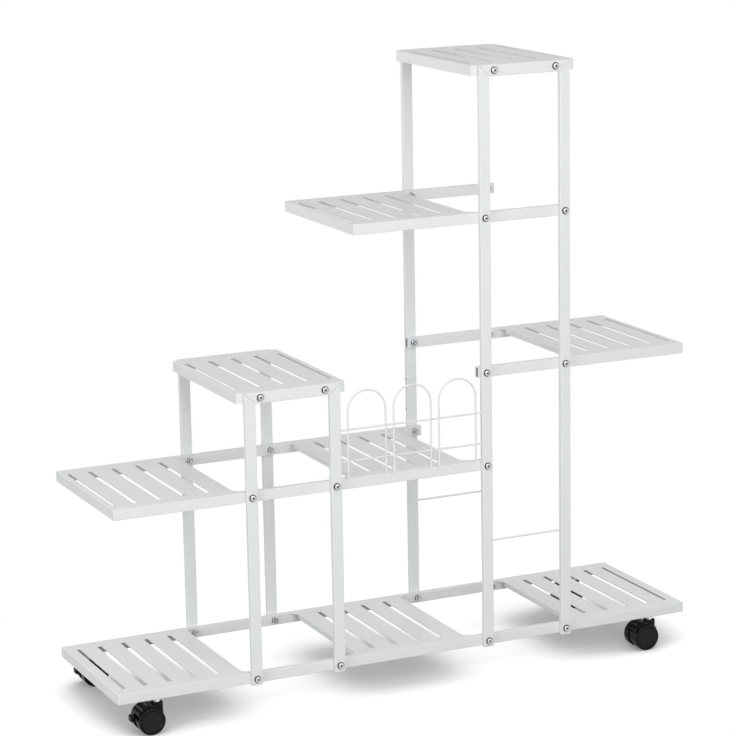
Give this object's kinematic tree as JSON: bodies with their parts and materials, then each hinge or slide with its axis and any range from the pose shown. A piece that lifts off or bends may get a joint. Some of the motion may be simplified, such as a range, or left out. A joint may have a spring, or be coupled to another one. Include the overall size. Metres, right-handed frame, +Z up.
{
  "type": "rolling plant stand",
  "caption": "Rolling plant stand of white steel tube with stepped slatted shelves round two towers, a wire guard and twin-wheel swivel casters.",
  "frame": {"origin": "on the floor, under the middle of the stand's length and depth", "axes": "+X along the length from the low tower to the tall tower, +Y from the guarded front to the back, +Z up"},
  "size_m": [1.004, 0.299, 0.991],
  "materials": {
    "white_paint": "satin white powder coat",
    "bright_zinc": "bright zinc plating",
    "steel": "plain bright steel",
    "black_housing": "black moulded plastic",
    "black_wheel": "satin black moulded plastic"
  },
  "bodies": {
    "frame": {"low_front_post_left": "white_paint", "low_front_post_right": "white_paint", "low_front_top_bar": "white_paint", "low_rear_post_left": "white_paint", "low_rear_post_right": "white_paint", "low_rear_top_bar": "white_paint", "tall_front_post_left": "white_paint", "tall_front_post_right": "white_paint", "tall_front_top_bar": "white_paint", "tall_rear_post_left": "white_paint", "tall_rear_post_right": "white_paint", "tall_rear_top_bar": "white_paint", "bottom_rail_front": "white_paint", "bottom_rail_rear": "white_paint", "middle_rail_front": "white_paint", "middle_rail_rear": "white_paint", "right_rail_front": "white_paint", "right_rail_rear": "white_paint", "upper_rail_front": "white_paint", "upper_rail_rear": "white_paint", "bottom_left_shelf": "white_paint", "bottom_middle_shelf": "white_paint", "bottom_right_shelf": "white_paint", "middle_left_shelf": "white_paint", "middle_shelf": "white_paint", "right_shelf": "white_paint", "upper_left_shelf": "white_paint", "low_tray": "white_paint", "tall_tray": "white_paint", "guard_arches": "white_paint", "guard_wires": "white_paint", "cross_rods": "white_paint", "rail_bolts": "bright_zinc", "tray_bolts": "bright_zinc", "nuts": "bright_zinc", "caster_front_left_stem": "steel", "caster_rear_left_stem": "steel", "caster_front_right_stem": "steel", "caster_rear_right_stem": "steel"},
    "caster_front_left": {"caster_front_left_housing": "black_housing"},
    "caster_front_left_wheels": {"caster_front_left_axle": "steel", "caster_front_left_wheel_front": "black_wheel", "caster_front_left_wheel_rear": "black_wheel"},
    "caster_front_left_lever": {"caster_front_left_lever": "black_housing"},
    "caster_rear_left": {"caster_rear_left_housing": "black_housing"},
    "caster_rear_left_wheels": {"caster_rear_left_axle": "steel", "caster_rear_left_wheel_front": "black_wheel", "caster_rear_left_wheel_rear": "black_wheel"},
    "caster_rear_left_lever": {"caster_rear_left_lever": "black_housing"},
    "caster_front_right": {"caster_front_right_housing": "black_housing"},
    "caster_front_right_wheels": {"caster_front_right_axle": "steel", "caster_front_right_wheel_front": "black_wheel", "caster_front_right_wheel_rear": "black_wheel"},
    "caster_rear_right": {"caster_rear_right_housing": "black_housing"},
    "caster_rear_right_wheels": {"caster_rear_right_axle": "steel", "caster_rear_right_wheel_front": "black_wheel", "caster_rear_right_wheel_rear": "black_wheel"}
  },
  "joints": [
    {"name": "caster_front_left_swivel", "type": "hinge", "parent": "frame", "child": "caster_front_left", "pos_m": [-0.438, -0.1285, 0.038], "axis": [0, 0, 1], "continuous": true},
    {"name": "caster_front_left_roll", "type": "hinge", "parent": "caster_front_left", "child": "caster_front_left_wheels", "pos_m": [-0.4525, -0.1285, 0.02175], "axis": [0, 1, 0], "continuous": true},
    {"name": "caster_front_left_brake", "type": "hinge", "parent": "caster_front_left", "child": "caster_front_left_lever", "pos_m": [-0.467, -0.1285, 0.02825], "axis": [0, -1, 0], "range_deg": [0, 20]},
    {"name": "caster_rear_left_swivel", "type": "hinge", "parent": "frame", "child": "caster_rear_left", "pos_m": [-0.438, 0.1285, 0.038], "axis": [0, 0, 1], "continuous": true},
    {"name": "caster_rear_left_roll", "type": "hinge", "parent": "caster_rear_left", "child": "caster_rear_left_wheels", "pos_m": [-0.4525, 0.1285, 0.02175], "axis": [0, 1, 0], "continuous": true},
    {"name": "caster_rear_left_brake", "type": "hinge", "parent": "caster_rear_left", "child": "caster_rear_left_lever", "pos_m": [-0.467, 0.1285, 0.02825], "axis": [0, -1, 0], "range_deg": [0, 20]},
    {"name": "caster_front_right_swivel", "type": "hinge", "parent": "frame", "child": "caster_front_right", "pos_m": [0.438, -0.1285, 0.038], "axis": [0, 0, 1], "continuous": true},
    {"name": "caster_front_right_roll", "type": "hinge", "parent": "caster_front_right", "child": "caster_front_right_wheels", "pos_m": [0.4235, -0.1285, 0.02175], "axis": [0, 1, 0], "continuous": true},
    {"name": "caster_rear_right_swivel", "type": "hinge", "parent": "frame", "child": "caster_rear_right", "pos_m": [0.438, 0.1285, 0.038], "axis": [0, 0, 1], "continuous": true},
    {"name": "caster_rear_right_roll", "type": "hinge", "parent": "caster_rear_right", "child": "caster_rear_right_wheels", "pos_m": [0.4235, 0.1285, 0.02175], "axis": [0, 1, 0], "continuous": true}
  ]
}
